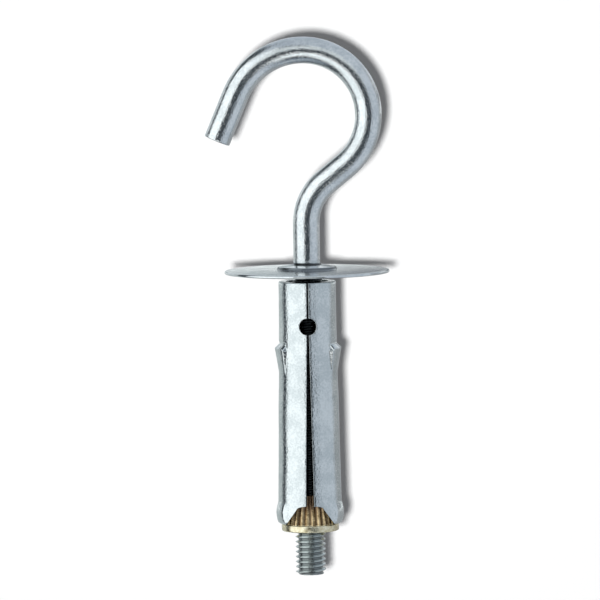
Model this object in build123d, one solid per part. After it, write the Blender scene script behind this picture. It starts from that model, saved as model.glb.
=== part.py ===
from build123d import *
import math
import os

# A steel hook bolt in an expansion sleeve, for a drilled hole in a wall or a ceiling.
# Millimetres, +Z towards the hook. The origin is on the bolt's axis, in the plane of the wall
# that the washer's rim lies on. The hook opens towards -X, and the sleeve's seam faces -Y.

# Hook bolt: one bent wire with a rolled thread
WIRE_DIAMETER = 5.3
NECK_START = 9.9
NECK_BEND_RADIUS = 10.4
NECK_ANGLE = 50.7
NECK_LENGTH = 5.2
EYE_BEND_RADIUS = 13.0
ARM_BEND_RADIUS = 14.45
ARM_ANGLE = 23.0
ARM_LENGTH = 9.8
TIP_CHAMFER = 0.25

THREAD_DIAMETER = 6.0
THREAD_RUN_OUT = 0.7
THREAD_ABOVE_WASHER = 0.5
THREAD_BELOW_NUT = 8.8
THREAD_END_CHAMFER = 0.5

# Cover washer: thin sheet with a flat rim, a brim that rises a little and a collar round the hole
WASHER_DIAMETER = 32.8
WASHER_SHEET = 0.6
WASHER_RIM_WIDTH = 0.9
WASHER_BRIM_RISE = 0.23
COLLAR_DIAMETER = 12.4
COLLAR_STEP_WIDTH = 0.6
COLLAR_STEP = 0.5
COLLAR_CROWN_RISE = 0.37
WASHER_HOLE_CLEARANCE = 0.1
WASHER_EDGE_ROUND = 0.15

# Expansion sleeve: sheet rolled to a tube, two legs below a round hole
SLEEVE_DIAMETER = 11.4
SLEEVE_WALL = 1.5
SLEEVE_REACH = 50.0
SLEEVE_TOP_DEPTH = 1.6
SLEEVE_END_ROUND = 0.2
SEAM_GAP = 0.35
ROUND_HOLE_DIAMETER = 3.4
ROUND_HOLE_DEPTH = 10.3
LEG_SPLAY = 0.7

# Lugs that stop the sleeve from turning in its hole, one in the middle of each leg
LUG_DEPTH = 14.9
LUG_LENGTH = 4.9
LUG_HEIGHT = 0.85
LUG_WIDTH = 8.3

# Swellings at the ends of the legs, one on each
LOBE_LENGTH = 4.0
LOBE_WIDTH = 8.6
LOBE_HEIGHT = 0.35
LOBE_END_MARGIN = 2.3

# Notch at the mouth of each slot
MOUTH_HEIGHT = 3.7
MOUTH_TOP_WIDTH = 4.5
MOUTH_END_WIDTH = 9.8

# Cone nut: flange, ribbed cone and a bore for the thread
FLANGE_DIAMETER = 11.4
FLANGE_THICKNESS = 1.4
FLANGE_EDGE_ROUND = 0.25
FLANGE_GAP = 0.05
CONE_HEIGHT = 5.9
CONE_BASE_DIAMETER = 10.5
CONE_TOP_DIAMETER = 8.5
CONE_SEAT_CLEARANCE = 0.1
RIB_COUNT = 26
RIB_DEPTH = 0.35
THREAD_CLEARANCE = 0.05
BORE_CHAMFER = 0.35

# Places that follow from the sizes above
wire_radius = WIRE_DIAMETER / 2
thread_radius = THREAD_DIAMETER / 2
sleeve_radius = SLEEVE_DIAMETER / 2
sleeve_bore_radius = sleeve_radius - SLEEVE_WALL
washer_radius = WASHER_DIAMETER / 2
washer_hole_radius = thread_radius + WASHER_HOLE_CLEARANCE
collar_radius = COLLAR_DIAMETER / 2
collar_shoulder_radius = collar_radius - COLLAR_STEP_WIDTH
collar_shoulder_rise = WASHER_BRIM_RISE + COLLAR_STEP
washer_hole_rise = collar_shoulder_rise + COLLAR_CROWN_RISE
washer_top = washer_hole_rise + WASHER_SHEET
thread_top = washer_top + THREAD_ABOVE_WASHER
sleeve_top = -SLEEVE_TOP_DEPTH
sleeve_end = -SLEEVE_REACH
round_hole_z = -ROUND_HOLE_DEPTH
leg_root = round_hole_z
leg_length = leg_root - sleeve_end
flange_top = sleeve_end - FLANGE_GAP
flange_bottom = flange_top - FLANGE_THICKNESS
thread_end = flange_bottom - THREAD_BELOW_NUT
mouth_top = sleeve_end + MOUTH_HEIGHT
cone_base_radius = CONE_BASE_DIAMETER / 2
cone_top_radius = CONE_TOP_DIAMETER / 2
through_both_walls = 2 * (sleeve_radius + LEG_SPLAY + LOBE_HEIGHT + LUG_HEIGHT)


def hook_path():
    """Centreline of the bent wire, from inside the thread up to the tip."""
    lean = math.radians(NECK_ANGLE)
    start = Vector(0, 0, thread_top)
    bend_start = Vector(0, 0, NECK_START)
    bend_centre = Vector(NECK_BEND_RADIUS, 0, NECK_START)
    half_out = Vector(-math.cos(lean / 2), 0, math.sin(lean / 2))
    full_out = Vector(-math.cos(lean), 0, math.sin(lean))
    bend_middle = bend_centre + half_out * NECK_BEND_RADIUS
    bend_end = bend_centre + full_out * NECK_BEND_RADIUS
    eye_start = bend_end + Vector(math.sin(lean), 0, math.cos(lean)) * NECK_LENGTH
    eye_centre = eye_start + full_out * EYE_BEND_RADIUS
    turn_middle = (math.pi / 2 - lean) / 2
    eye_middle = eye_centre + Vector(math.cos(turn_middle), 0, math.sin(turn_middle)) * EYE_BEND_RADIUS
    eye_top = eye_centre + Vector(0, 0, EYE_BEND_RADIUS)
    arm_centre = eye_top - Vector(0, 0, ARM_BEND_RADIUS)
    arm = math.radians(ARM_ANGLE)
    arm_middle_turn = (math.pi / 2 + arm) / 2
    arm_middle = arm_centre + Vector(-math.cos(arm_middle_turn), 0, math.sin(arm_middle_turn)) * ARM_BEND_RADIUS
    arm_start = arm_centre + Vector(-math.cos(arm), 0, math.sin(arm)) * ARM_BEND_RADIUS
    tip = arm_start - Vector(math.sin(arm), 0, math.cos(arm)) * ARM_LENGTH
    return Wire(
        [
            Edge.make_line(start, bend_start),
            Edge.make_three_point_arc(bend_start, bend_middle, bend_end),
            Edge.make_line(bend_end, eye_start),
            Edge.make_three_point_arc(eye_start, eye_middle, eye_top),
            Edge.make_three_point_arc(eye_top, arm_middle, arm_start),
            Edge.make_line(arm_start, tip),
        ]
    )


def bar(radius, low, high):
    """Upright round bar on the bolt's axis."""
    return Pos(0, 0, low) * Cylinder(radius, high - low, align=(Align.CENTER, Align.CENTER, Align.MIN))


def tapered_bar(low_radius, high_radius, low, high):
    """Upright round bar on the bolt's axis that narrows from one end to the other."""
    return Pos(0, 0, low) * Cone(low_radius, high_radius, high - low, align=(Align.CENTER, Align.CENTER, Align.MIN))


def make_hook_bolt():
    """Bent wire with its threaded stretch as a plain bar of the thread's outer diameter."""
    path = hook_path()
    section = Plane(origin=(0, 0, thread_top), z_dir=(0, 0, 1)) * Circle(wire_radius)
    wire = sweep(section, path=path)
    tip_face = wire.faces().sort_by_distance(path @ 1)[0]
    wire = chamfer(tip_face.edges(), TIP_CHAMFER)
    end_radius = thread_radius - THREAD_END_CHAMFER
    chamfer_top = thread_end + THREAD_END_CHAMFER
    run_out_low = thread_top - THREAD_RUN_OUT
    threaded = tapered_bar(end_radius, thread_radius, thread_end, chamfer_top)
    threaded += bar(thread_radius, chamfer_top, run_out_low)
    threaded += tapered_bar(thread_radius, wire_radius, run_out_low, thread_top)
    return wire + threaded


def washer_curve(height):
    """Line of the pressed sheet from the hole to the rim, at a height above the wall."""
    hole = Vector(washer_hole_radius, 0, height + washer_hole_rise)
    shoulder = Vector(collar_shoulder_radius, 0, height + collar_shoulder_rise)
    foot = Vector(collar_radius, 0, height + WASHER_BRIM_RISE)
    rim_start = Vector(washer_radius - WASHER_RIM_WIDTH, 0, height)
    rim_end = Vector(washer_radius, 0, height)
    return [
        Edge.make_line(hole, shoulder),
        Edge.make_line(shoulder, foot),
        Edge.make_tangent_arc(foot, Vector(1, 0, 0), rim_start),
        Edge.make_line(rim_start, rim_end),
    ]


def make_cover_washer():
    """Pressed washer with a raised collar for the bolt and a flat rim for the wall."""
    outer_edge = Edge.make_line((washer_radius, 0, 0), (washer_radius, 0, WASHER_SHEET))
    hole_edge = Edge.make_line((washer_hole_radius, 0, washer_hole_rise), (washer_hole_radius, 0, washer_top))
    outline = Wire(washer_curve(0) + [outer_edge] + washer_curve(WASHER_SHEET) + [hole_edge])
    washer = revolve(Face(outline), axis=Axis.Z)
    circles = washer.edges().filter_by(GeomType.CIRCLE)
    outer_edges = [edge for edge in circles if math.isclose(edge.radius, washer_radius)]
    return fillet(outer_edges, WASHER_EDGE_ROUND)


def half_ring(side):
    """Half of the sleeve's section, on one side of the slot, as a flat face."""
    ring = Circle(sleeve_radius) - Circle(sleeve_bore_radius)
    keep = Pos(side * SEAM_GAP / 2, 0) * Rectangle(
        sleeve_radius, 2 * sleeve_radius, align=(Align.MIN if side > 0 else Align.MAX, Align.CENTER)
    )
    return Pos(0, 0, leg_root) * (ring & keep)


def make_leg(side):
    """One leg of the sleeve, leaning outwards from the hole down to its end."""
    lean = Vector(side * LEG_SPLAY, 0, -leg_length)
    return extrude(half_ring(side), amount=lean.length, dir=lean.normalized())


def splay_at(height):
    """How far a leg has moved outwards at a height."""
    return LEG_SPLAY * (leg_root - height) / leg_length


def middle_of_leg(side, width, low, high):
    """Block that holds what is pressed out of the middle of one leg, between two heights."""
    align_x = Align.MIN if side > 0 else Align.MAX
    return Pos(0, 0, low) * Box(2 * sleeve_radius, width, high - low, align=(align_x, Align.CENTER, Align.MIN))


def make_lug(side):
    """Pressed-out lug: it stands proud at its top and runs out downwards."""
    high = -LUG_DEPTH
    low = high - LUG_LENGTH
    body = tapered_bar(sleeve_radius, sleeve_radius + LUG_HEIGHT, low, high)
    return Pos(side * splay_at(high), 0, 0) * (body & middle_of_leg(side, LUG_WIDTH, low, high))


def make_lobe(side):
    """Rounded swelling on the end of a leg, turned about the leg's own axis."""
    height = sleeve_end + LOBE_END_MARGIN
    half = LOBE_LENGTH / 2
    crest = (sleeve_radius + LOBE_HEIGHT, 0, height)
    curve = Edge.make_three_point_arc((sleeve_radius, 0, height - half), crest, (sleeve_radius, 0, height + half))
    low_edge = Edge.make_line((0, 0, height - half), (sleeve_radius, 0, height - half))
    high_edge = Edge.make_line((sleeve_radius, 0, height + half), (0, 0, height + half))
    axis_edge = Edge.make_line((0, 0, height + half), (0, 0, height - half))
    barrel = revolve(Face(Wire([low_edge, curve, high_edge, axis_edge])), axis=Axis.Z)
    return Pos(side * splay_at(height), 0, 0) * (barrel & middle_of_leg(side, LOBE_WIDTH, height - half, height + half))


def mouth_notch():
    """Flared notch where both slots reach the end of the sleeve."""
    half_top = MOUTH_TOP_WIDTH / 2
    half_end = MOUTH_END_WIDTH / 2
    flare = (half_end - half_top) / MOUTH_HEIGHT
    below = MOUTH_HEIGHT
    half_below = half_end + flare * below
    outline = Polyline(
        (-half_top, 0, mouth_top),
        (half_top, 0, mouth_top),
        (half_below, 0, sleeve_end - below),
        (-half_below, 0, sleeve_end - below),
        close=True,
    )
    return extrude(make_face(outline), amount=through_both_walls / 2, both=True, dir=(0, 1, 0))


def cone_seat():
    """Room for the cone inside the sleeve's end, with a named clearance all round."""
    flare = (cone_base_radius - cone_top_radius) / CONE_HEIGHT
    cone_top = flange_top + CONE_HEIGHT
    base_radius = cone_base_radius + CONE_SEAT_CLEARANCE
    narrow_radius = sleeve_bore_radius - LEG_SPLAY
    high = cone_top + (cone_top_radius + CONE_SEAT_CLEARANCE - narrow_radius) / flare
    return tapered_bar(base_radius, narrow_radius, flange_top, high)


def make_expansion_sleeve():
    """Rolled sleeve with its seam, hole, slots, legs, lugs, lobes and mouth."""
    tube = bar(sleeve_radius, leg_root, sleeve_top) - bar(sleeve_bore_radius, leg_root, sleeve_top)
    top_edges = tube.edges().filter_by(GeomType.CIRCLE).group_by(Axis.Z)[-1]
    tube = fillet(top_edges.sort_by(SortBy.RADIUS)[-1], SLEEVE_END_ROUND)
    sleeve = tube + make_leg(1) + make_leg(-1)
    for side in (1, -1):
        sleeve += make_lug(side)
        sleeve += make_lobe(side)
    bore_below_seam = bar(sleeve_bore_radius, sleeve_end - LOBE_LENGTH, sleeve_top)
    below_end = Pos(0, 0, sleeve_end) * Box(
        through_both_walls, through_both_walls, LOBE_LENGTH, align=(Align.CENTER, Align.CENTER, Align.MAX)
    )
    seam = Pos(0, -sleeve_radius, leg_root) * Box(
        SEAM_GAP, sleeve_radius, sleeve_top - leg_root, align=(Align.CENTER, Align.CENTER, Align.MIN)
    )
    round_hole = Pos(0, 0, round_hole_z) * Rot(90, 0, 0) * Cylinder(ROUND_HOLE_DIAMETER / 2, through_both_walls)
    for cut in (bore_below_seam, below_end, seam, round_hole, cone_seat(), mouth_notch()):
        sleeve -= cut
    return sleeve


def rib_outline(crest_radius, height):
    """Toothed outline of the cone at one height."""
    root_radius = crest_radius - RIB_DEPTH
    points = []
    for step in range(2 * RIB_COUNT):
        angle = math.pi * step / RIB_COUNT
        radius = crest_radius if step % 2 == 0 else root_radius
        points.append((radius * math.cos(angle), radius * math.sin(angle), height))
    return make_face(Polyline(*points, close=True))


def make_cone_nut():
    """Flanged nut with a ribbed cone that spreads the legs when it is drawn in."""
    flange = bar(FLANGE_DIAMETER / 2, flange_bottom, flange_top)
    flange = fillet(flange.edges().filter_by(GeomType.CIRCLE), FLANGE_EDGE_ROUND)
    cone_top = flange_top + CONE_HEIGHT
    cone = loft([rib_outline(cone_base_radius, flange_top), rib_outline(cone_top_radius, cone_top)], ruled=True)
    nut = flange + cone
    bore_radius = thread_radius + THREAD_CLEARANCE
    mouth_radius = bore_radius + BORE_CHAMFER
    nut -= bar(bore_radius, flange_bottom, cone_top)
    nut -= tapered_bar(mouth_radius, bore_radius, flange_bottom, flange_bottom + BORE_CHAMFER)
    nut -= tapered_bar(bore_radius, mouth_radius, cone_top - BORE_CHAMFER, cone_top)
    return nut


parts = {
    "hook_bolt": make_hook_bolt(),
    "cover_washer": make_cover_washer(),
    "expansion_sleeve": make_expansion_sleeve(),
    "cone_nut": make_cone_nut(),
}

os.makedirs("parts", exist_ok=True)
for name, shape in parts.items():
    export_step(shape, f"parts/{name}.step")
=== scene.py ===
"""Looks of a sleeve anchor hook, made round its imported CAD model.

The classes hold sizes in millimetres, as the part's source does. The meshes are made in metres.
X points right in the photograph, -Y towards its camera, and Z along the bolt towards the hook.
"""

import logging
import math
from collections.abc import Callable, Sequence
from dataclasses import dataclass
from enum import Enum

import bmesh
import bpy
import numpy as np
from mathutils import Matrix, Vector


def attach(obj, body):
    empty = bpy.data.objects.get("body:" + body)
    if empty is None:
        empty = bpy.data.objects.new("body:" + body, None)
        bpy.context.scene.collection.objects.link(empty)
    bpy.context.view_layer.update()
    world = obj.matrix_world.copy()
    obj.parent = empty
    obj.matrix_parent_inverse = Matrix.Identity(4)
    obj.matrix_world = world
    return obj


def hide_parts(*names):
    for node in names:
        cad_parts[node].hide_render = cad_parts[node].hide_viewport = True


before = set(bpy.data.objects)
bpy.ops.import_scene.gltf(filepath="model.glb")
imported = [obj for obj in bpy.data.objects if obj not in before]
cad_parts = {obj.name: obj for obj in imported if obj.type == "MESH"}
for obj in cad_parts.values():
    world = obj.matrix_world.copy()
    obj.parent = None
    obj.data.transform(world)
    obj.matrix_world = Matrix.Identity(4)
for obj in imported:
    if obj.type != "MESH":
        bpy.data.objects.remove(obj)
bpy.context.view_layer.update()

Array = np.ndarray
Colour = tuple[float, float, float]

log = logging.getLogger("anchor_hook")

MM = 0.001
WELD_MM = 0.0004
STRAIGHTENED = "straightened"
NOISE_ROUGHNESS = 0.55
LEAST_AHEAD = 0.02
WHITE = (1.0, 1.0, 1.0)


class Body(Enum):
    """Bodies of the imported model."""

    ANCHOR = "anchor"
    HOOK = "hook"
    NUT = "nut"


class Slot(Enum):
    """Material slots of the record."""

    WIRE = "plated_wire"
    WASHER = "plated_washer"
    SLEEVE = "plated_sheet"
    NUT = "yellow_metal"


class Side(Enum):
    """Sides of the sleeve, as the sign of X."""

    LEFT = -1
    RIGHT = 1


class Marks(Enum):
    """Fine lines that making the piece left in its surface."""

    DRAWN = "along the wire"
    ROLLED = "along the sleeve"
    PRESSED = "none"


# Shader trees


class Socket:
    """A node's output that takes part in sums written in Python."""

    def __init__(self, tree: "ShaderTree", output: bpy.types.NodeSocket) -> None:
        """Keeps the tree and the output that this stands for."""
        self.tree = tree
        self.output = output

    def math(self, operation: str, *values: "Socket | float") -> "Socket":
        """Adds a Math node.

        Args:
            operation: The node's operation.
            values: Its inputs, in order, or none if this socket is the only one.

        Returns:
            The node's output.
        """
        inputs = dict(enumerate(values or (self,)))
        return self.tree.add("ShaderNodeMath", {"operation": operation}, inputs)

    def __add__(self, other: "Socket | float") -> "Socket":
        """Sum."""
        return self.math("ADD", self, other)

    def __radd__(self, other: float) -> "Socket":
        """Sum with a number first."""
        return self.math("ADD", other, self)

    def __sub__(self, other: "Socket | float") -> "Socket":
        """Difference."""
        return self.math("SUBTRACT", self, other)

    def __rsub__(self, other: float) -> "Socket":
        """Difference from a number."""
        return self.math("SUBTRACT", other, self)

    def __mul__(self, other: "Socket | float") -> "Socket":
        """Product."""
        return self.math("MULTIPLY", self, other)

    def __rmul__(self, other: float) -> "Socket":
        """Product with a number first."""
        return self.math("MULTIPLY", other, self)

    def __truediv__(self, other: "Socket | float") -> "Socket":
        """Quotient."""
        return self.math("DIVIDE", self, other)

    def __abs__(self) -> "Socket":
        """Size without its sign."""
        return self.math("ABSOLUTE", self)

    def __gt__(self, other: "Socket | float") -> "Socket":
        """One where this is the greater, and zero elsewhere."""
        return self.math("GREATER_THAN", self, other)

    def from_axis(self) -> "Socket":
        """Distance from the bolt's axis in millimetres, of a place in metres."""
        across, deep = (self.dot(axis) for axis in ((1 / MM, 0.0, 0.0), (0.0, 1 / MM, 0.0)))
        return (across * across + deep * deep).math("SQRT")

    def height(self) -> "Socket":
        """Height over the plane of the wall in millimetres, of a place in metres."""
        return self.dot((0.0, 0.0, 1 / MM))

    def fade(self, start: float, end: float) -> "Socket":
        """Smooth step from 0 at start to 1 at end, which may be the lower of the two."""
        settings = {"interpolation_type": "SMOOTHSTEP"}
        inputs = {"Value": self, "From Min": start, "From Max": end}
        return self.tree.add("ShaderNodeMapRange", settings, inputs)

    def spread(self, half: float = 0.2) -> "Socket":
        """This noise round 0.5 drawn out over 0 to 1, or over 1 to 0 where half is below zero."""
        return self.fade(0.5 - half, 0.5 + half)

    def dot(self, direction: Sequence[float]) -> "Socket":
        """Dot product of this vector with a fixed one."""
        settings = {"operation": "DOT_PRODUCT"}
        return self.tree.add("ShaderNodeVectorMath", settings, {0: self, 1: direction}, "Value")

    def scaled(self, scale: Sequence[float]) -> "Socket":
        """This vector with each component times its own number."""
        settings = {"operation": "MULTIPLY"}
        return self.tree.add("ShaderNodeVectorMath", settings, {0: self, 1: scale})


class ShaderTree:
    """Node tree of a material or of the world."""

    def __init__(self, owner: bpy.types.Material | bpy.types.World) -> None:
        """Empties a tree.

        Args:
            owner: The material or world that has it.
        """
        owner.use_nodes = True
        self.nodes = owner.node_tree.nodes
        self.links = owner.node_tree.links
        self.nodes.clear()

    def add(
        self,
        kind: str,
        settings: dict[str, object] | None = None,
        inputs: dict[str | int, object] | None = None,
        output: str | int = 0,
    ) -> Socket:
        """Adds a node.

        Args:
            kind: The node's type.
            settings: Its properties, set first.
            inputs: A value or a link for each named or numbered socket.
            output: The output that is wanted.

        Returns:
            That output.
        """
        node = self.nodes.new(kind)
        for name, value in (settings or {}).items():
            setattr(node, name, value)
        for key, value in (inputs or {}).items():
            if isinstance(value, Socket):
                self.links.new(value.output, node.inputs[key])
            else:
                node.inputs[key].default_value = value
        return Socket(self, node.outputs[output] if node.outputs else None)

    def mix_colour(
        self, factor: Socket | float, low: Socket | Colour, high: Socket | Colour
    ) -> Socket:
        """Adds a colour Mix node.

        Args:
            factor: How much of the second colour there is.
            low: The first colour.
            high: The second colour.

        Returns:
            The mixed colour.
        """
        first, second = (c if isinstance(c, Socket) else (*c, 1.0) for c in (low, high))
        inputs = {0: factor, 6: first, 7: second}
        return self.add("ShaderNodeMix", {"data_type": "RGBA"}, inputs, output=2)

    def noise(self, place: Socket, grain_mm: float, detail: float = 2.0) -> Socket:
        """Adds a noise over places in metres.

        Args:
            place: The coordinates.
            grain_mm: The size of its grains, in millimetres.
            detail: How many finer layers it has.

        Returns:
            A value round 0.5.
        """
        inputs = {"Vector": place, "Scale": 1 / (grain_mm * MM), "Detail": detail}
        inputs["Roughness"] = NOISE_ROUGHNESS
        return self.add("ShaderNodeTexNoise", {"noise_dimensions": "3D"}, inputs)

    def place(self) -> Socket:
        """Places on the piece, in metres."""
        return self.add("ShaderNodeTexCoord", output="Object")

    def metal(self, colour: Socket, roughness: Socket, relief: Socket, relief_mm: float) -> None:
        """Ends the tree with a metal.

        Args:
            colour: Its colour.
            roughness: Its roughness.
            relief: The height of its fine relief, as a share.
            relief_mm: The whole of that height.
        """
        inputs = {"Strength": 1.0, "Distance": relief_mm * MM, "Height": relief}
        bump = self.add("ShaderNodeBump", {}, inputs)
        inputs = {"Base Color": colour, "Metallic": 1.0, "Roughness": roughness, "Normal": bump}
        shader = self.add("ShaderNodeBsdfPrincipled", {}, inputs)
        self.add("ShaderNodeOutputMaterial", {}, {"Surface": shader})


# Finishes

# How much of a layer there is, its colour, and the roughness that it adds.
Layer = tuple[Socket, Colour, Socket | float]


@dataclass(frozen=True)
class PlatedSteel:
    """Zinc plating on steel: two close greys, with a fine mottle, soft clouds and tool lines."""

    name: str
    light: Colour = (0.80, 0.82, 0.835)
    dark: Colour = (0.66, 0.69, 0.71)
    least_roughness: float = 0.06
    most_roughness: float = 0.13
    mottle_mm: float = 0.55
    mottle_half: float = 0.18
    mottle_share: float = 0.45
    cloud_mm: float = 3.2
    tone_half: float = 0.45
    relief_mm: float = 0.006
    line_mm: float = 0.22
    line_stretch: float = 0.05
    line_share: float = 0.5
    marks: Marks = Marks.PRESSED

    def lines(self, tree: ShaderTree, place: Socket) -> Socket:
        """Noise drawn out along the piece where making it left lines.

        Args:
            tree: The material's tree.
            place: Places on the piece, in metres.

        Returns:
            A value round 0.5.
        """
        if self.marks is Marks.DRAWN:
            settings = {"attribute_name": STRAIGHTENED}
            place = tree.add("ShaderNodeAttribute", settings, output="Vector")
        return tree.noise(place.scaled((1.0, 1.0, self.line_stretch)), self.line_mm)

    def layers(self, place: Socket) -> list[Layer]:
        """Layers of colour over the plating, from the lowest, painted shade among them: here none.
        """
        return []

    def material(self) -> bpy.types.Material:
        """Makes the material.

        Returns:
            A node material for Cycles.
        """
        made = bpy.data.materials.new(self.name)
        tree = ShaderTree(made)
        place = tree.place()
        cloud = tree.noise(place, self.cloud_mm)
        fine = tree.noise(place, self.mottle_mm, 3.0).spread(self.mottle_half)
        relief = fine
        if self.marks is not Marks.PRESSED:
            relief = fine + self.lines(tree, place).spread() * self.line_share
        tone = fine * self.mottle_share + cloud.spread() * (1 - self.mottle_share)
        colour = tree.mix_colour(tone.spread(self.tone_half), self.dark, self.light)
        more = self.most_roughness - self.least_roughness
        roughness = self.least_roughness + more * cloud.spread(-self.mottle_half)
        for share, layer, rougher in self.layers(place):
            colour, roughness = tree.mix_colour(share, colour, layer), roughness + rougher
        tree.metal(colour, roughness, relief, self.relief_mm)
        return made


@dataclass(frozen=True)
class ThreadedSteel(PlatedSteel):
    """Plated wire whose thread is duller, with painted shade in its roots and where the washer and
    the sleeve hide it.
    """

    thread_colour: Colour = (0.53, 0.57, 0.56)
    # Painted shade colour, for the thread's roots and for the wire where the washer and sleeve
    # hide it.
    painted_shade_colour: Colour = (0.035, 0.04, 0.045)
    bright_above: float = 2.0
    dull_below: float = 1.2
    hidden_shade_top: tuple[float, float] = (2.14, 1.90)
    hidden_shade_bottom: tuple[float, float] = (-51.0, -50.2)
    root_radius: float = 2.44
    unshaded_radius: float = 2.80
    dulled_share: float = 0.75
    root_shade_share: float = 0.55
    hidden_shade_share: float = 0.95
    thread_roughness: float = 0.03
    hidden_shade_roughness: float = 0.12

    def layers(self, place: Socket) -> list[Layer]:
        """Layers of colour: the duller thread and painted shade.

        Args:
            place: Places on the piece, in metres.

        Returns:
            The dull thread, painted shade in its roots, and painted shade where the other pieces
            hide it.
        """
        height = place.height()
        threaded = height.fade(self.bright_above, self.dull_below)
        # Painted shade: the wire darkened where the washer and the sleeve hide it, and in the
        # thread's roots.
        hidden_shade = height.fade(*self.hidden_shade_top) * height.fade(*self.hidden_shade_bottom)
        in_root = place.from_axis().fade(self.unshaded_radius, self.root_radius) * threaded
        return [
            (threaded * self.dulled_share, self.thread_colour, threaded * self.thread_roughness),
            (in_root * self.root_shade_share, self.painted_shade_colour, 0.0),
            (hidden_shade * self.hidden_shade_share, self.painted_shade_colour, hidden_shade * self.hidden_shade_roughness),
        ]


@dataclass(frozen=True)
class CreasedSteel(PlatedSteel):
    """Plated sheet with painted shade in the crease round its collar."""

    # Painted shade colour, darkening the crease round the collar.
    crease_shade_colour: Colour = (0.13, 0.145, 0.16)
    crease_radius: float = 5.88
    unshaded_from: float = 0.22
    shaded_within: float = 0.08
    crease_shade_share: float = 0.9
    crease_shade_roughness: float = 0.12

    def layers(self, place: Socket) -> list[Layer]:
        """Layers of colour: painted shade.

        Args:
            place: Places on the piece, in metres.

        Returns:
            The painted shade in the crease.
        """
        # Painted shade: the sheet darkened near the crease round the collar.
        away = abs(place.from_axis() - self.crease_radius)
        painted_crease_shade = away.fade(self.unshaded_from, self.shaded_within)
        return [(painted_crease_shade * self.crease_shade_share, self.crease_shade_colour, painted_crease_shade * self.crease_shade_roughness)]


@dataclass(frozen=True)
class TurnedBrass:
    """Brass-coloured turned metal: a bright flange, and a browner cone with painted shade."""

    name: str
    # Painted shade: the cone darkened towards its top, where the sleeve shades it, and in its rib
    # valleys.
    top_shade_colour: Colour = (0.16, 0.09, 0.055)
    top_shade_low: float = -48.4
    top_shade_high: float = -45.9
    dark_share: float = 0.85
    light: Colour = (0.97, 0.90, 0.69)
    dark: Colour = (0.68, 0.58, 0.37)
    cone_light: Colour = (0.80, 0.61, 0.36)
    cone_dark: Colour = (0.34, 0.235, 0.12)
    valley_shade_colour: Colour = (0.10, 0.06, 0.03)
    cone_low: float = -50.0
    cone_radius: float = 5.25
    cone_flare: float = 0.1695
    rib_depth: float = 0.35
    valley_start: float = 0.25
    tint_mm: float = 0.9
    turned_mm: float = 0.16
    turned_stretch: float = 0.15
    roughness: float = 0.20
    tint_roughness: float = 0.08
    relief_mm: float = 0.012

    def material(self) -> bpy.types.Material:
        """Makes the material.

        Returns:
            A node material for Cycles.
        """
        made = bpy.data.materials.new(self.name)
        tree = ShaderTree(made)
        place = tree.place()
        height = place.height()
        tint = tree.noise(place, self.tint_mm, 3.0).spread()
        stretched = place.scaled((self.turned_stretch, self.turned_stretch, 1.0))
        turned = tree.noise(stretched, self.turned_mm).spread()
        # Painted shade in the valleys between the ribs and on the cone's top under the sleeve.
        below = self.cone_radius - self.cone_flare * (height - self.cone_low) - place.from_axis()
        valley = below.fade(self.valley_start * self.rib_depth, self.rib_depth) * self.dark_share
        top_shade = height.fade(self.top_shade_low, self.top_shade_high) * self.dark_share
        flange = tree.mix_colour(tint, self.dark, self.light)
        cone = tree.mix_colour(tint, self.cone_dark, self.cone_light)
        cone = tree.mix_colour(valley, cone, self.valley_shade_colour)
        colour = tree.mix_colour(height > self.cone_low, flange, cone)
        colour = tree.mix_colour(top_shade, colour, self.top_shade_colour)
        tree.metal(colour, self.roughness + self.tint_roughness * tint, turned, self.relief_mm)
        return made


@dataclass(frozen=True)
class PaleCard:
    """Plain pale card of the floor and the backdrop."""

    name: str
    colour: Colour = (0.93, 0.93, 0.925)
    one_sided: bool = False

    def material(self) -> bpy.types.Material:
        """Makes the material.

        Returns:
            A matt material, clear from behind where it is one-sided.
        """
        made = bpy.data.materials.new(self.name)
        tree = ShaderTree(made)
        settings = {"Base Color": (*self.colour, 1.0), "Roughness": 1.0, "Specular IOR Level": 0.0}
        shader = tree.add("ShaderNodeBsdfPrincipled", {}, settings)
        if self.one_sided:
            behind = tree.add("ShaderNodeNewGeometry", output="Backfacing")
            clear = tree.add("ShaderNodeBsdfTransparent")
            shader = tree.add("ShaderNodeMixShader", {}, {0: behind, 1: shader, 2: clear})
        tree.add("ShaderNodeOutputMaterial", {}, {"Surface": shader})
        return made


# Mesh building


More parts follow.
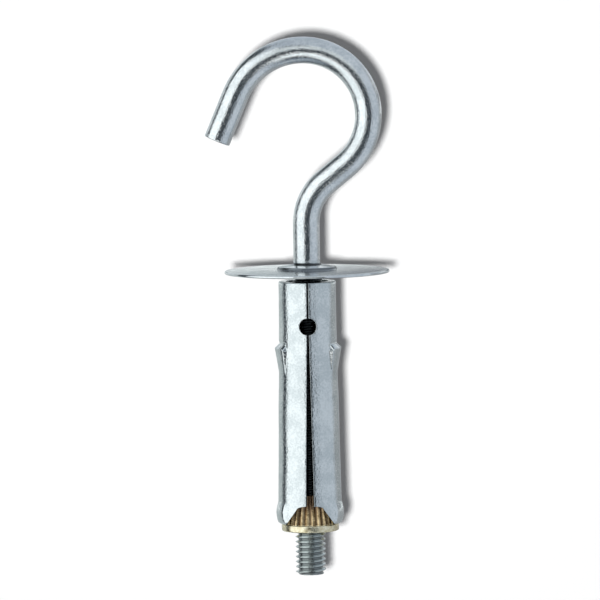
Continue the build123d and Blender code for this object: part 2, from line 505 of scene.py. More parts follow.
class PieceMesh:
    """Points and faces of one piece, in millimetres, gathered before they are welded."""

    def __init__(self) -> None:
        """Starts with nothing."""
        self.points: list[Array] = []
        self.straightened: list[Array] = []
        self.faces: list[Array] = []
        self.count = 0

    def grid(self, points: Array, straightened: Array | None = None) -> Array:
        """Adds rows of points.

        Args:
            points: An array of rows, columns and coordinates.
            straightened: The same points where the piece is unbent, for lines that follow it.

        Returns:
            The points' numbers, by row and column.
        """
        rows, columns = points.shape[:2]
        self.points.append(points.reshape(-1, 3))
        self.straightened.append((points if straightened is None else straightened).reshape(-1, 3))
        numbers = np.arange(self.count, self.count + rows * columns).reshape(rows, columns)
        self.count += rows * columns
        return numbers

    def strip(self, first: Array, second: Array, closed: bool = True) -> None:
        """Adds the faces between two rows of points.

        Args:
            first: The numbers of the one row.
            second: The numbers of the other.
            closed: Whether the gap at their ends is bridged too.
        """
        if closed:
            first, second = np.append(first, first[0]), np.append(second, second[0])
        self.faces.append(np.stack([first[:-1], first[1:], second[1:], second[:-1]], axis=1))

    def skin(self, numbers: Array, closed: bool = True) -> None:
        """Adds the faces between all neighbouring rows."""
        for first, second in zip(numbers[:-1], numbers[1:]):
            self.strip(first, second, closed)

    def cap(self, ring: Array, points: Array, shares: Sequence[float]) -> None:
        """Closes a ring with smaller rings towards its middle.

        Args:
            ring: The ring's numbers.
            points: Its points.
            shares: The size of each smaller ring, the last of them 0 for a single point.
        """
        middle = points.mean(axis=0)
        last = ring
        for share in shares:
            rows = self.grid((middle + (points - middle) * share)[None])
            self.strip(last, rows[0])
            last = rows[0]

    def build(self, name: str, crease_degrees: float = 35.0) -> bpy.types.Object:
        """Welds the points and makes the object.

        Args:
            name: The object's name.
            crease_degrees: Edges that turn by more than this stay sharp.

        Returns:
            The object, linked to the scene.
        """
        mesh = bpy.data.meshes.new(name)
        points = np.concatenate(self.points) * MM
        mesh.from_pydata(points.tolist(), [], np.concatenate(self.faces).tolist())
        unbent = mesh.attributes.new(STRAIGHTENED, "FLOAT_VECTOR", "POINT")
        places = (np.concatenate(self.straightened) * MM).astype(np.float32)
        unbent.data.foreach_set("vector", places.ravel())
        work = bmesh.new()
        work.from_mesh(mesh)
        bmesh.ops.remove_doubles(work, verts=work.verts, dist=WELD_MM * MM)
        bmesh.ops.dissolve_degenerate(work, edges=work.edges, dist=WELD_MM * MM / 2)
        bmesh.ops.recalc_face_normals(work, faces=work.faces)
        open_edges = sum(1 for edge in work.edges if not edge.is_manifold)
        work.to_mesh(mesh)
        work.free()
        mesh.shade_smooth()
        mesh.set_sharp_from_angle(angle=math.radians(crease_degrees))
        made = bpy.data.objects.new(name, mesh)
        bpy.context.scene.collection.objects.link(made)
        triangles = sum(len(face.vertices) - 2 for face in mesh.polygons)
        log.info("%s: %d triangles, %d open edges", name, triangles, open_edges)
        return made


def install(
    piece: bpy.types.Object, material: bpy.types.Material, node: str, body: Body
) -> None:
    """Dresses a piece and hands it to the frame.

    Args:
        piece: The piece.
        material: Its finish.
        node: The CAD node that it stands for.
        body: The body that it moves with.
    """
    piece.data.materials.append(material)
    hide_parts(node)
    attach(piece, body.value)


def around(columns: int) -> Array:
    """Angles of a ring's columns, in radians."""
    return 2 * math.pi * np.arange(columns) / columns


def spaced(knots: Sequence[float], steps: Sequence[int]) -> Array:
    """Values from the first knot to the last.

    Args:
        knots: Values that are all met.
        steps: How many equal steps lead from each knot to the next.

    Returns:
        The values, the knots among them once each.
    """
    values = [knots[:1]]
    for low, high, count in zip(knots[:-1], knots[1:], steps):
        values.append(np.linspace(low, high, count + 1)[1:])
    return np.concatenate(values)


def polar(radius: Array, angle: Array, height: Array) -> Array:
    """Points from distances from the axis, angles from +X in radians and heights."""
    parts = np.broadcast_arrays(radius * np.cos(angle), radius * np.sin(angle), height)
    return np.stack(parts, axis=-1)


def rounding(steps: int) -> list[tuple[float, float]]:
    """Quarter round as shares of its radius, from the side to the end.

    Args:
        steps: The number of facets.

    Returns:
        Pairs of what is left before the end and how far the side has drawn in.
    """
    turns = [math.pi / 2 * step / steps for step in range(steps + 1)]
    return [(1 - math.sin(turn), 1 - math.cos(turn)) for turn in turns]


def arc_points(
    centre: tuple[float, float], radius: float, start: float, end: float, steps: int = 4
) -> list[tuple[float, float]]:
    """Points on an arc in the plane of a section.

    Args:
        centre: The arc's centre.
        radius: Its radius.
        start: Its first angle, in degrees.
        end: Its last angle.
        steps: The number of facets.

    Returns:
        The points, both ends among them.
    """
    turns = [math.radians(start + (end - start) * step / steps) for step in range(steps + 1)]
    x, y = centre
    return [(x + radius * math.cos(turn), y + radius * math.sin(turn)) for turn in turns]


# The hook bolt


@dataclass
class HookBolt:
    """Bent wire with a rolled thread, as one skin from the thread's end to the wire's tip."""

    finish: PlatedSteel
    wire_radius: float = 2.65
    thread_radius: float = 3.0
    thread_root_radius: float = 2.387
    pitch: float = 1.0
    thread_low: float = -60.25
    thread_high: float = 2.2
    half_pitch: tuple[tuple[float, float], ...] = (
        (0.0, 0.0),
        (0.05, 0.0),
        (0.085, 0.05),
        (0.36, 0.86),
        (0.43, 0.97),
    )
    run_out: float = 0.7
    end_chamfer: float = 0.5
    end_rings: tuple[float, ...] = (0.8, 0.4, 0.0)
    neck_start: float = 9.9
    neck_bend_radius: float = 10.4
    neck_angle: float = 50.7
    neck_length: float = 5.2
    eye_bend_radius: float = 13.0
    arm_bend_radius: float = 14.45
    arm_angle: float = 23.0
    arm_length: float = 9.8
    tip_round: float = 0.25
    tip_rings: tuple[float, ...] = (0.85, 0.45, 0.0)
    columns: int = 64
    row_step: float = 0.7

    def thread_form(self) -> tuple[Array, Array]:
        """Line of the thread over one pitch.

        Returns:
            Places as shares of the pitch, and the radius at each.
        """
        rising = [(1 - share, drop) for share, drop in self.half_pitch[:0:-1]]
        places, drops = np.array([*self.half_pitch, (0.5, 1.0), *rising]).T
        return places, self.thread_radius - (self.thread_radius - self.thread_root_radius) * drops

    def thread_surface(self, height: Array, angle: Array) -> Array:
        """Radius of the threaded stretch.

        Args:
            height: Heights.
            angle: Angles from +X, in radians.

        Returns:
            Radii, drawn in at the end's chamfer and at the run-out.
        """
        places, radii = self.thread_form()
        phase = (height - self.thread_low) / self.pitch - angle / (2 * math.pi)
        cut = np.interp(phase, places, radii, period=1.0)
        above_end = self.thread_radius - self.end_chamfer + (height - self.thread_low)
        left = np.clip((self.thread_high - height) / self.run_out, 0.0, 1.0)
        return self.wire_radius + (np.minimum(cut, above_end) - self.wire_radius) * left

    def wind_thread(self, mesh: PieceMesh) -> None:
        """Adds the thread, its rows laid along the helix, and the flat end of the bolt.

        Args:
            mesh: The mesh to add to.
        """
        places, _ = self.thread_form()
        turns = math.ceil((self.thread_high - self.thread_low) / self.pitch) + 2
        phase = (np.arange(-1, turns - 1)[:, None] + places[None, :]).ravel()
        share = np.arange(self.columns) / self.columns
        height = self.thread_low + self.pitch * (phase[:, None] + share[None, :])
        height = np.clip(height, self.thread_low, self.thread_high)
        angle = 2 * math.pi * share[None, :]
        points = polar(self.thread_surface(height, angle), angle, height)
        rows = mesh.grid(points)
        mesh.skin(rows, closed=False)
        mesh.strip(rows[: -len(places), -1], rows[len(places) :, 0], closed=False)
        end_height = np.full(self.columns, self.thread_low)
        end = polar(self.thread_surface(end_height, angle[0]), angle[0], end_height)
        mesh.cap(mesh.grid(end[None])[0], end, self.end_rings)

    def centreline(self) -> Array:
        """Line of the wire above its thread, in its own plane.

        Returns:
            Rows of X, Z, the heading from +Z towards +X in radians, and the length so far.
        """
        lean = math.radians(self.neck_angle)
        runs = [
            (self.neck_start - self.thread_high, 0.0),
            (self.neck_bend_radius * lean, 1 / self.neck_bend_radius),
            (self.neck_length, 0.0),
            (self.eye_bend_radius * (lean + math.pi / 2), -1 / self.eye_bend_radius),
            (self.arm_bend_radius * math.radians(90 - self.arm_angle), -1 / self.arm_bend_radius),
            (self.arm_length, 0.0),
        ]
        x, z, heading, length = 0.0, self.thread_high, 0.0, 0.0
        rows = [(x, z, heading, length)]
        for run, curvature in runs:
            steps = max(2, math.ceil(run / self.row_step))
            step = run / steps
            for _ in range(steps):
                half_turn = curvature * step / 2
                chord = 2 * math.sin(half_turn) / curvature if curvature else step
                middle = heading + half_turn
                x, z = x + chord * math.sin(middle), z + chord * math.cos(middle)
                heading, length = heading + curvature * step, length + step
                rows.append((x, z, heading, length))
        return np.array(rows)

    def ring(self, place: Array, back: float, drawn_in: float) -> tuple[Array, Array]:
        """One ring of the wire.

        Args:
            place: A row of the centreline.
            back: How far before that place the ring lies.
            drawn_in: How much smaller it is than the wire.

        Returns:
            Its points, and the same points on the straightened wire.
        """
        x, z, heading, length = place
        straight = polar(
            self.wire_radius - drawn_in, around(self.columns), self.thread_high + length - back
        )
        across, side = straight[:, 0], straight[:, 1]
        bent_x = x - back * math.sin(heading) + across * math.cos(heading)
        bent_z = z - back * math.cos(heading) - across * math.sin(heading)
        return np.stack([bent_x, side, bent_z], axis=-1), straight

    def bend_wire(self, mesh: PieceMesh) -> None:
        """Adds the plain wire from the thread's run-out to the cut tip.

        Args:
            mesh: The mesh to add to.
        """
        line = self.centreline()
        rings = [self.ring(place, 0.0, 0.0) for place in line[:-1]]
        for back, drawn_in in rounding(4):
            rings.append(self.ring(line[-1], back * self.tip_round, drawn_in * self.tip_round))
        points, straight = (np.stack(part) for part in zip(*rings))
        rows = mesh.grid(points, straight)
        mesh.skin(rows)
        mesh.cap(rows[-1], points[-1], self.tip_rings)

    def build(self) -> None:
        """Makes the hook bolt."""
        mesh = PieceMesh()
        self.wind_thread(mesh)
        self.bend_wire(mesh)
        piece = mesh.build("threaded_hook_wire")
        install(piece, self.finish.material(), "hook_bolt", Body.HOOK)


# The cover washer


@dataclass
class CoverWasher:
    """Pressed washer: a collar round the hole, a brim that rises a little, and a flat rim."""

    finish: PlatedSteel
    radius: float = 16.4
    hole_radius: float = 3.1
    shoulder_radius: float = 5.75
    collar_radius: float = 6.0
    rim_inner_radius: float = 15.5
    brim_rise: float = 0.23
    collar_step: float = 0.5
    crown_rise: float = 0.37
    sheet: float = 0.6
    edge_round: float = 0.27
    hole_round: float = 0.10
    bend: float = 0.08
    crease_reach: float = 0.3
    rim_reach: float = 0.2
    columns: int = 224

    def height_at(self, radius: float) -> float:
        """Height of the underside at a radius.

        Args:
            radius: Distance from the axis.

        Returns:
            The height above the wall.
        """
        if radius >= self.rim_inner_radius:
            return 0.0
        if radius >= self.collar_radius:
            across = self.rim_inner_radius - self.collar_radius
            bend_radius = (across**2 + self.brim_rise**2) / (2 * self.brim_rise)
            out = radius - self.collar_radius
            return self.brim_rise - (bend_radius - math.sqrt(bend_radius**2 - out**2))
        shoulder = self.brim_rise + self.collar_step
        out = radius - self.shoulder_radius
        if out >= 0:
            return shoulder - self.collar_step * out / (self.collar_radius - self.shoulder_radius)
        return shoulder - self.crown_rise * out / (self.shoulder_radius - self.hole_radius)

    def soft_height(self, radius: float) -> float:
        """Height of the underside with its creases rounded, as the mean over a short width."""
        near = np.maximum(radius + np.linspace(-self.bend, self.bend, 9), self.hole_radius)
        return float(np.mean([self.height_at(place) for place in near]))

    def outline(self) -> list[tuple[float, float]]:
        """Closed line of the sheet's section.

        Returns:
            Its radii and heights.
        """
        size, edge = self.hole_round, self.edge_round
        inner, out = self.hole_radius + size, self.radius - edge
        crease_in = self.shoulder_radius - self.crease_reach
        crease_out = self.collar_radius + self.crease_reach
        rim = self.rim_inner_radius - self.rim_reach
        across = spaced([inner, crease_in, crease_out, rim, out], (5, 16, 19, 6))
        under = [(float(radius), self.soft_height(radius)) for radius in across]
        start = under[0][1]
        line = under + arc_points((out, edge), edge, -90, 0)[1:]
        line += arc_points((out, self.sheet - edge), edge, 0, 90)
        line += [(radius, height + self.sheet) for radius, height in under[-2::-1]]
        line += arc_points((inner, start + self.sheet - size), size, 90, 180)[1:]
        return line + arc_points((inner, start + size), size, 180, 270)[:-1]

    def build(self) -> None:
        """Makes the washer."""
        mesh = PieceMesh()
        line = np.array(self.outline())
        rows = mesh.grid(polar(line[:, :1], around(self.columns)[None, :], line[:, 1:]))
        mesh.skin(np.concatenate([rows, rows[:1]]))
        piece = mesh.build("collared_washer")
        install(piece, self.finish.material(), "cover_washer", Body.ANCHOR)


# The expansion sleeve


@dataclass(frozen=True)
class Lug:
    """Lug pressed out of the middle of a leg: proud at its shoulder, running out downwards."""

    shoulder: float = -14.9
    length: float = 4.9
    proud: float = 0.85
    half_angle: float = 39.5
    flank: float = 56.0
    shoulder_slope: float = 0.85
    corner: float = 0.45
    softening: float = 0.06
    crease_above: float = 1.15
    crease_width: float = 0.22
    crease_depth: float = 0.08
    crease_past: float = 0.5
    crease_fade: float = 0.4

    @property
    def top(self) -> float:
        """Height where the crease over the shoulder has run out."""
        return self.shoulder + self.crease_above + 3 * self.crease_width

    def rise(self, azimuth: Array, height: float, sleeve_radius: float) -> Array:
        """How far the lug stands out of the sleeve.

        Args:
            azimuth: Angles from the seam, in radians.
            height: The height.
            sleeve_radius: The sleeve's own radius.

        Returns:
            A distance at each angle, below zero in the crease over the shoulder.
        """
        above = height - self.shoulder
        if above <= -self.length or height >= self.top:
            return np.zeros_like(azimuth)
        across = (math.pi / 2 - azimuth) * sleeve_radius
        half = math.radians(self.half_angle) * sleeve_radius
        into_corner = np.clip(1 + (across - half) / self.corner, 0.0, 1.0)
        over_edge = above + self.corner * (1 - np.sqrt(1 - into_corner**2))
        share = np.minimum(1 + above / self.length, 1 - over_edge / self.shoulder_slope)
        tall = self.proud * np.clip(share, 0.0, 1.0)
        run = tall / math.tan(math.radians(self.flank)) + 1e-4
        softly = np.linspace(-self.softening, self.softening, 5)[:, None]
        ridge = np.clip(1 + (half - across + softly) / run, 0.0, 1.0).mean(axis=0)
        crease = np.exp(-(((over_edge - self.crease_above) / self.crease_width) ** 2))
        beside = np.clip((half + self.crease_past - across) / self.crease_fade, 0.0, 1.0)
        return tall * ridge - self.crease_depth * crease * beside


@dataclass(frozen=True)
class Lobe:
    """Rounded swelling in the middle of a leg's end."""

    height: float = -47.7
    length: float = 4.4
    half_angle: float = 47.0
    side: float = 0.95
    proud: float = 0.38

    def rise(self, azimuth: Array, height: float, sleeve_radius: float) -> Array:
        """How far the lobe stands out of the sleeve.

        Args:
            azimuth: Angles from the seam, in radians.
            height: The height.
            sleeve_radius: The sleeve's own radius.

        Returns:
            A distance at each angle.
        """
        along = (height - self.height) / (self.length / 2)
        within = (math.radians(self.half_angle) - math.pi / 2 + azimuth) * sleeve_radius
        share = np.clip(within / self.side, 0.0, 1.0)
        return self.proud * max(0.0, 1.0 - along**2) ** 1.5 * share**2 * (3 - 2 * share)


@dataclass
class ExpansionSleeve:
    """Rolled sleeve with its seam, hole, slots, lugs, lobes and mouth, as two mirrored halves."""

    finish: PlatedSteel
    radius: float = 5.7
    bore_radius: float = 4.2
    top: float = -1.6
    end: float = -50.0
    seam_half: float = 0.175
    hole_radius: float = 1.7
    hole_height: float = -10.3
    leg_splay: float = 0.7
    mouth_top: float = -46.1
    mouth_half_top: float = 2.25
    mouth_half_end: float = 4.9
    mouth_corner: float = 0.45
    seat_radius: float = 5.35
    seat_height: float = -50.05
    seat_flare: float = 0.1695
    seam_flat: float = 17.0
    uneven: float = 0.02
    edge_round: float = 0.08
    end_round: float = 0.2
    foot_round: float = 0.6
    flank_start: float = 41.0
    flank_end: float = 57.0
    least_run: float = 0.03
    lug: Lug = Lug()
    lobe: Lobe = Lobe()

    def splay(self, height: float) -> float:
        """How far a leg has moved outwards at a height."""
        return self.leg_splay * max(0.0, self.hole_height - height) / (self.hole_height - self.end)

    def opening(self, height: float, at_seam: bool) -> float:
        """Half the width of what is open at a height.

        Args:
            height: The height.
            at_seam: True on the seam's side, and False behind, where it ends at the hole.

        Returns:
            Half of the width, in X.
        """
        from_hole = height - self.hole_height
        whole = self.seam_half if at_seam or from_hole <= 0 else 0.0
        width = whole + self.splay(height)
        if abs(from_hole) < self.hole_radius:
            width = max(width, math.sqrt(self.hole_radius**2 - from_hole**2))
        if height < self.mouth_top:
            flare = (self.mouth_half_end - self.mouth_half_top) / (self.mouth_top - self.end)
            wide = self.mouth_half_top + flare * (self.mouth_top - height)
            share = min(1.0, (self.mouth_top - height) / self.mouth_corner)
            width += (wide - width) * math.sqrt(1 - (1 - share) ** 2)
        return width

    def unevenness(self, azimuth: Array, height: float) -> Array:
        """How far rolling left the sheet out of round: two waves that lean opposite ways."""
        broad = np.sin(2.6 * azimuth + 0.31 * height)
        return self.uneven * (broad + 0.7 * np.sin(4.3 * azimuth - 0.47 * height + 1.3))

    def outer(self, azimuth: Array, height: float) -> Array:
        """Radius of the outside, about the leg's own axis. Beside the seam the sheet stays flat.

        Args:
            azimuth: Angles from the seam, in radians.
            height: The height.

        Returns:
            Radii.
        """
        folded = np.where(azimuth > math.pi / 2, math.pi - azimuth, azimuth)
        flat = self.radius / np.cos(np.maximum(math.radians(self.seam_flat) - azimuth, 0.0))
        risen = [form.rise(folded, height, self.radius) for form in (self.lug, self.lobe)]
        return flat + self.unevenness(azimuth, height) + risen[0] + risen[1]

    def inner(self, azimuth: Array, height: float) -> Array:
        """Radius of the inside, about the bolt's axis.

        Args:
            azimuth: Angles from the seam, in radians.
            height: The height.

        Returns:
            Radii.
        """
        aside = self.splay(height)
        level = np.sqrt(self.bore_radius**2 - (aside * np.cos(azimuth)) ** 2)
        leaning = aside * np.sin(azimuth) + level
        seat = self.seat_radius - self.seat_flare * (height - self.seat_height)
        return np.maximum(np.maximum(leaning, self.bore_radius), seat)

    @staticmethod
    def angle_at(x: float, radius_of: Callable[[Array], Array], behind: bool) -> float:
        """Angle at which a surface reaches a place in X.

        Args:
            x: The place, from the surface's own axis.
            radius_of: The surface's radius at an angle.
            behind: True for the angle on the far side.

        Returns:
            The angle from the seam, in radians.
        """
        found = 0.0
        for _ in range(12):
            found = math.asin(min(1.0, x / float(radius_of(np.array([found]))[0])))
        return math.pi - found if behind else found

    def edge(self, height: float, behind: bool, outside: bool, drop: float) -> Array:
        """Rounded corner of the sheet where an opening cuts it.

        Args:
            height: The height.
            behind: True on the side away from the seam.
            outside: True for the outer corner.
            drop: How far the outside is drawn in.

        Returns:
            Rows of an angle and a radius, from the cut to the surface.
        """
        width = self.opening(height, not behind)
        size = min(self.edge_round, 0.8 * width)
        aside = self.splay(height) if outside else 0.0
        surface = self.outer if outside else self.inner
        corner = []
        for left, drawn in reversed(rounding(3)):
            shift = -drop - drawn * size if outside else drawn * size

            def radius_of(angle: Array, shift: float = shift) -> Array:
                """Radius of the surface, moved by the corner's share."""
                return surface(angle, height) + shift

            angle = self.angle_at(width - aside + left * size, radius_of, behind)
            corner.append((angle, float(radius_of(np.array([angle]))[0])))
        return np.array(corner)

    def between(self, front: float, back: float) -> Array:
        """Angles between two corners of the sheet, closer at the sides of the lugs and lobes.

        Args:
            front: Angle of the corner beside the seam.
            back: Angle of the corner behind.

        Returns:
            As many angles for every pair of corners.
        """
        near, far = math.radians(self.flank_start), math.radians(self.flank_end)
        low = max(near, front + self.least_run)
        high = max(far, low + self.least_run)
        low_behind = min(math.pi - near, back - self.least_run)
        high_behind = min(math.pi - far, low_behind - self.least_run)
        knots = [front, low, high, high_behind, low_behind, back]
        return spaced(knots, (7, 34, 26, 34, 7))[1:-1]

    def section(self, height: float, drop: float) -> Array:
        """Closed line round the right half of the sheet.

        Args:
            height: The height.
            drop: How far the outside is drawn in.

        Returns:
            Its points: the outside from the seam to the back, then the inside forwards again.
        """
        halves = []
        for outside in (True, False):
            front = self.edge(height, False, outside, drop)
            back = self.edge(height, True, outside, drop)[::-1]
            middle = self.between(front[-1, 0], back[0, 0])
            radii = self.outer(middle, height) - drop if outside else self.inner(middle, height)
            angle = np.concatenate([front[:, 0], middle, back[:, 0]])
            radius = np.concatenate([front[:, 1], radii, back[:, 1]])
            aside = self.splay(height) if outside else 0.0
            x, y = aside + radius * np.sin(angle), -radius * np.cos(angle)
            halves.append(np.stack([x, y, np.full_like(x, height)], axis=-1))
        return np.concatenate([halves[0], halves[1][::-1]])

    def levels(self) -> list[tuple[float, float]]:
        """Rows of the sleeve, from the top to the end.

        Returns:
            The height of each, and how far it is drawn in.
        """
        top, foot = self.end_round, self.foot_round
        hole = self.hole_height + self.hole_radius * np.cos(np.linspace(0, math.pi, 25))
        corner_turns = np.linspace(0, math.pi / 2, 10)
        corner = self.mouth_top - self.mouth_corner * (1 - np.cos(corner_turns))
        legs = [
            hole[-1],
            self.lug.top,
            self.lug.shoulder - 1.2 * self.lug.corner,
            self.lug.shoulder - self.lug.length,
            self.lobe.height + self.lobe.length / 2,
            self.mouth_top,
        ]
        heights = [
            *spaced([self.top - top, hole[0]], [12])[1:-1],
            *hole,
            *spaced(legs, (4, 35, 13, 29, 9))[1:-1],
            *corner,
            *spaced([corner[-1], self.end + foot], [15])[1:-1],
        ]
        above = [(self.top - left * top, drawn * top) for left, drawn in reversed(rounding(3))]
        below = [(self.end + left * foot, drawn * foot) for left, drawn in rounding(6)]
        return above + [(float(height), 0.0) for height in heights] + below

    def add_half(self, mesh: PieceMesh, side: Side) -> None:
        """Adds one half of the sleeve.

        Args:
            mesh: The mesh to add to.
            side: The half's side.
        """
        levels = self.levels()
        points = np.stack([self.section(height, drop) for height, drop in levels])
        points[..., 0] *= side.value
        rows = mesh.grid(points)
        half = rows.shape[1] // 2
        hole_high = self.hole_height + self.hole_radius
        outside, inside, front, back = slice(half), slice(half, None), [-1, 0], [half - 1, half]
        for upper, lower, (height, _) in zip(rows[:-1], rows[1:], levels[1:]):
            parts = [outside, inside, front] + ([back] if height < hole_high - 1e-9 else [])
            for part in parts:
                mesh.strip(upper[part], lower[part], closed=False)
        for end in (rows[0], rows[-1]):
            mesh.strip(end[:half], end[half:][::-1], closed=False)

    def build(self) -> None:
        """Makes the sleeve."""
        mesh = PieceMesh()
        for side in Side:
            self.add_half(mesh, side)
        piece = mesh.build("slotted_sleeve", crease_degrees=50.0)
        install(piece, self.finish.material(), "expansion_sleeve", Body.ANCHOR)


# The cone nut


@dataclass
class ConeNut:
    """Turned nut with a flange, a ribbed cone and a bore."""

    finish: TurnedBrass
    flange_radius: float = 5.7
    flange_low: float = -51.45
    flange_high: float = -50.05
    flange_round: float = 0.25
    cone_height: float = 5.9
    cone_base_radius: float = 5.25
    cone_top_radius: float = 4.25
    cone_foot: float = 0.06
    rib_count: int = 26
    rib_depth: float = 0.35
    rib_form: tuple[float, ...] = (0.04, 0.12, 0.50, 0.86, 1.0, 0.86, 0.50, 0.12)
    bore_radius: float = 3.05
    bore_chamfer: float = 0.35
    underside_radius: float = 4.4

    def outline(self) -> list[tuple[float, float, float]]:
        """Closed line of the nut's section.

        Returns:
            Its radii and heights, and how much of the ribs shows at each.
        """
        low, high, size = self.flange_low, self.flange_high, self.flange_round
        cone_top = high + self.cone_height
        bore, chamfer = self.bore_radius, self.bore_chamfer
        base, out = self.cone_base_radius, self.flange_radius - size
        flange = [(bore + chamfer, low), (self.underside_radius, low)]
        flange += arc_points((out, low + size), size, -90, 0)
        flange += [*arc_points((out, high - size), size, 0, 90), (base + self.cone_foot, high)]
        inside = [(bore + chamfer, cone_top), (bore, cone_top - chamfer), (bore, low + chamfer)]
        cone = [
            (base + (self.cone_top_radius - base) * share, high + self.cone_height * share, 1.0)
            for share in np.linspace(0, 1, 14)
        ]
        return [(*point, 0.0) for point in flange] + cone + [(*point, 0.0) for point in inside]

    def build(self) -> None:
        """Makes the nut."""
        mesh = PieceMesh()
        drop = np.tile(np.array(self.rib_form) * self.rib_depth, self.rib_count)
        line = np.array(self.outline())
        radius = line[:, :1] - line[:, 2:] * drop[None, :]
        rows = mesh.grid(polar(radius, around(len(drop))[None, :], line[:, 1:2]))
        mesh.skin(np.concatenate([rows, rows[:1]]))
        piece = mesh.build("ribbed_cone_nut", crease_degrees=30.0)
        install(piece, self.finish.material(), "cone_nut", Body.NUT)


# The studio


@dataclass(frozen=True)
class Panel:
    """Soft box that only reflections show, at degrees from the camera towards +X and up."""

    azimuth: float
    elevation: float
    half_width: float
    half_height: float
    edge: float
    light: Colour

    def mask(self, direction: Socket) -> Socket:
        """Where the panel is.

        Args:
            direction: The direction that is looked in.

        Returns:
            One on the panel and zero off it, with a soft edge.
        """
        turn, up = math.radians(self.azimuth), math.radians(self.elevation)
        right = Vector((math.cos(turn), math.sin(turn), 0.0))
        x, y = math.sin(turn) * math.cos(up), -math.cos(turn) * math.cos(up)
        middle = Vector((x, y, math.sin(up)))
        ahead = direction.dot(middle)
        across = abs(direction.dot(right) / ahead)
        along = abs(direction.dot(middle.cross(right)) / ahead)
        found = ahead > LEAST_AHEAD
        for value, half in ((across, self.half_width), (along, self.half_height)):
            outer, inner = (math.tan(math.radians(half + sign * self.edge)) for sign in (1, -1))
            found = found * value.fade(outer, inner)
        return found


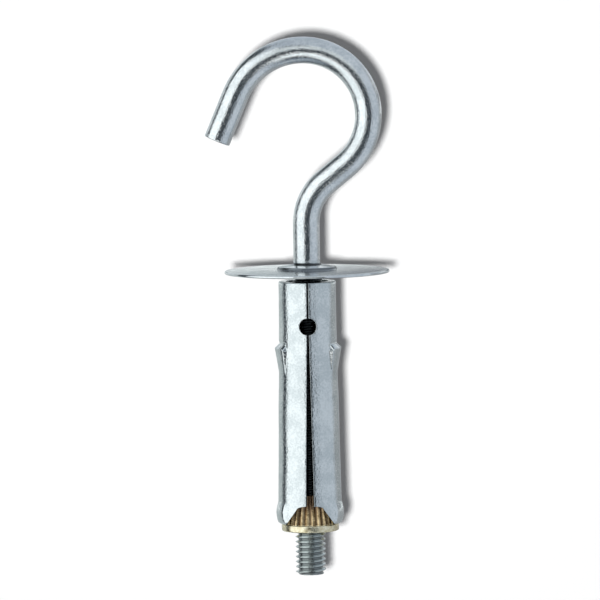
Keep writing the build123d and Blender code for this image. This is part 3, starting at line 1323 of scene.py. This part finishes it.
@dataclass
class Studio:
    """Pale floor, pale backdrop, soft lights and the camera."""

    panels: tuple[Panel, ...] = (
        Panel(-149, -8, 33, 42, 2.5, (0.55, 0.60, 0.60)),
        Panel(141, 0, 41, 60, 2.5, (0.38, 0.40, 0.41)),
        Panel(180, 1.5, 66, 3.5, 1.0, (0.95, 1.0, 1.0)),
        Panel(180, 10.5, 66, 5.5, 1.0, (0.42, 0.48, 0.50)),
        Panel(146, 9.5, 33.5, 6.5, 0.9, (0.24, 0.26, 0.28)),
        Panel(180, 22, 60, 6, 1.5, (0.92, 0.97, 1.0)),
        Panel(155, 54, 36, 27, 4, (0.50, 0.57, 0.64)),
        Panel(60, 75, 40, 40, 6, (0.50, 0.56, 0.62)),
        Panel(2, 25, 30, 12, 5, (0.80, 0.86, 0.87)),
        Panel(66, 0, 38, 62, 4, (0.56, 0.62, 0.68)),
        Panel(-56, 2, 36.5, 50, 3, (1.21, 1.28, 1.29)),
        Panel(-22, -40, 32, 16, 5, (1.15, 1.22, 1.22)),
        Panel(-8, -19, 7, 6, 4, (1.0, 1.0, 1.0)),
    )
    dark: Colour = (0.055, 0.065, 0.075)
    low_fill: Colour = (0.155, 0.158, 0.165)
    floor_height: float = -80.0
    floor_half: float = 900.0
    backdrop_place: float = 60.0
    backdrop_half: float = 130.0
    backdrop_top: float = 100.0
    lens: float = 300.0
    sensor: float = 36.0
    view_end: float = 20.0
    picture_pixels: int = 600
    pixels_per_mm: float = 5.03
    camera_elevation: float = 4.6
    camera_roll: float = 0.79
    aim_across: float = -1.39
    aim_up: float = -5.39
    key_across: float = -27.0
    key_up: float = -25.5
    key_size: float = 30.0
    key_power: float = 10.4
    top_place: tuple[float, float, float] = (0.0, 450.0, 950.0)
    top_target: tuple[float, float, float] = (0.0, 100.0, -80.0)
    top_size: float = 700.0
    top_power: float = 14.0

    def light_world(self) -> None:
        """Gives the world panels for reflections, white for the camera and a low fill besides."""
        world = bpy.data.worlds.new("studio")
        bpy.context.scene.world = world
        tree = ShaderTree(world)
        direction = tree.add("ShaderNodeTexCoord", output="Generated")
        seen = tree.mix_colour(0.0, self.dark, self.dark)
        for panel in self.panels:
            seen = tree.mix_colour(panel.mask(direction), seen, panel.light)
        reflected = tree.add("ShaderNodeLightPath", output="Is Glossy Ray")
        through = tree.add("ShaderNodeLightPath", output="Is Transmission Ray")
        direct = tree.add("ShaderNodeLightPath", output="Is Camera Ray")
        colour = tree.mix_colour(reflected, self.low_fill, seen)
        colour = tree.mix_colour(direct + through, colour, WHITE)
        shader = tree.add("ShaderNodeBackground", {}, {"Color": colour, "Strength": 1.0})
        tree.add("ShaderNodeOutputWorld", {}, {"Surface": shader})

    def card(
        self, name: str, corners: Sequence[tuple[float, float, float]], one_sided: bool
    ) -> bpy.types.Object:
        """Makes one flat card.

        Args:
            name: Its name.
            corners: Its corners in millimetres, anticlockwise from its front.
            one_sided: True if it is clear from behind.

        Returns:
            The card, which neither reflections nor bounced light show.
        """
        mesh = bpy.data.meshes.new(name)
        mesh.from_pydata([Vector(corner) * MM for corner in corners], [], [(0, 1, 2, 3)])
        mesh.materials.append(PaleCard(f"{name}_card", one_sided=one_sided).material())
        card = bpy.data.objects.new(name, mesh)
        bpy.context.scene.collection.objects.link(card)
        card.visible_glossy = False
        card.visible_diffuse = False
        return card

    def lay_cards(self) -> None:
        """Lays the floor and stands the backdrop behind the object."""
        low, half = self.floor_height, self.floor_half
        lying = [(-half, -half, low), (half, -half, low), (half, half, low), (-half, half, low)]
        self.card("floor", lying, False)
        far, half, top = self.backdrop_place, self.backdrop_half, self.backdrop_top
        standing = [(-half, far, low), (half, far, low), (half, far, top), (-half, far, top)]
        backdrop = self.card("backdrop", standing, True)
        backdrop.visible_shadow = False

    def axes(self) -> tuple[Vector, Vector, Vector]:
        """Axes of the camera.

        Returns:
            The picture's right and up, and the way back to the camera.
        """
        lift, roll = math.radians(self.camera_elevation), math.radians(self.camera_roll)
        right = Vector((1.0, 0.0, 0.0))
        up = Vector((0.0, math.sin(lift), math.cos(lift)))
        back = Vector((0.0, -math.cos(lift), math.sin(lift)))
        level = right * math.cos(roll) - up * math.sin(roll)
        return level, right * math.sin(roll) + up * math.cos(roll), back

    @staticmethod
    def aim(
        made: bpy.types.Object, place: Vector, right: Vector, up: Vector, back: Vector
    ) -> None:
        """Puts a camera or a lamp in its place.

        Args:
            made: The object.
            place: Its place, in metres.
            right: The way that it has to its right.
            up: The way that it has above it.
            back: The way behind it, against which it looks.
        """
        turn = Matrix((right, up, back)).transposed()
        made.matrix_world = Matrix.Translation(place) @ turn.to_4x4()
        bpy.context.scene.collection.objects.link(made)

    def lamp(self, name: str, size: float, power: float, place: Vector, target: Vector) -> None:
        """Adds a soft lamp that reflections don't show.

        Args:
            name: Its name.
            size: Its side, in millimetres.
            power: Its power in watts.
            place: Where it is, in metres.
            target: What it shines at, in metres.
        """
        data = bpy.data.lights.new(name, "AREA")
        data.shape, data.size, data.energy = "DISK", size * MM, power
        made = bpy.data.objects.new(name, data)
        back = (place - target).normalized()
        right = Vector((0.0, 0.0, 1.0)).cross(back).normalized()
        self.aim(made, place, right, back.cross(right), back)
        made.visible_glossy = False
        made.visible_camera = False

    def set_up(self) -> None:
        """Makes the world, the cards, the lamps and the camera."""
        self.light_world()
        self.lay_cards()
        right, up, back = self.axes()
        target = (right * self.aim_across + up * self.aim_up) * MM
        data = bpy.data.cameras.new("camera")
        data.lens, data.sensor_width = self.lens, self.sensor
        data.clip_end = self.view_end
        camera = bpy.data.objects.new("camera", data)
        distance = self.picture_pixels / self.pixels_per_mm * MM * self.lens / self.sensor
        place = target + back * distance
        self.aim(camera, place, right, up, back)
        bpy.context.scene.camera = camera
        beside = (right * self.key_across + up * self.key_up) * MM
        self.lamp("key", self.key_size, self.key_power, place + beside, target)
        top_place, top_target = (Vector(point) * MM for point in (self.top_place, self.top_target))
        self.lamp("top", self.top_size, self.top_power, top_place, top_target)
        bpy.context.scene.view_settings.view_transform = "Standard"


def main() -> None:
    """Builds the studio and the four pieces, and reports each."""
    logging.basicConfig(level=logging.INFO, format="%(message)s")
    Studio().set_up()
    wire = ThreadedSteel("zinc_on_drawn_wire", mottle_mm=0.42, relief_mm=0.017, marks=Marks.DRAWN)
    pressed = CreasedSteel(
        "zinc_on_pressed_sheet", least_roughness=0.10, most_roughness=0.16, relief_mm=0.008
    )
    rolled = PlatedSteel(
        "zinc_on_rolled_sheet",
        light=(0.77, 0.80, 0.81),
        dark=(0.60, 0.64, 0.655),
        mottle_mm=0.42,
        relief_mm=0.016,
        line_share=0.25,
        marks=Marks.ROLLED,
    )
    brass = TurnedBrass("turned_brass")
    for piece in (HookBolt(wire), CoverWasher(pressed), ExpansionSleeve(rolled), ConeNut(brass)):
        piece.build()


if __name__ == "__main__":
    main()
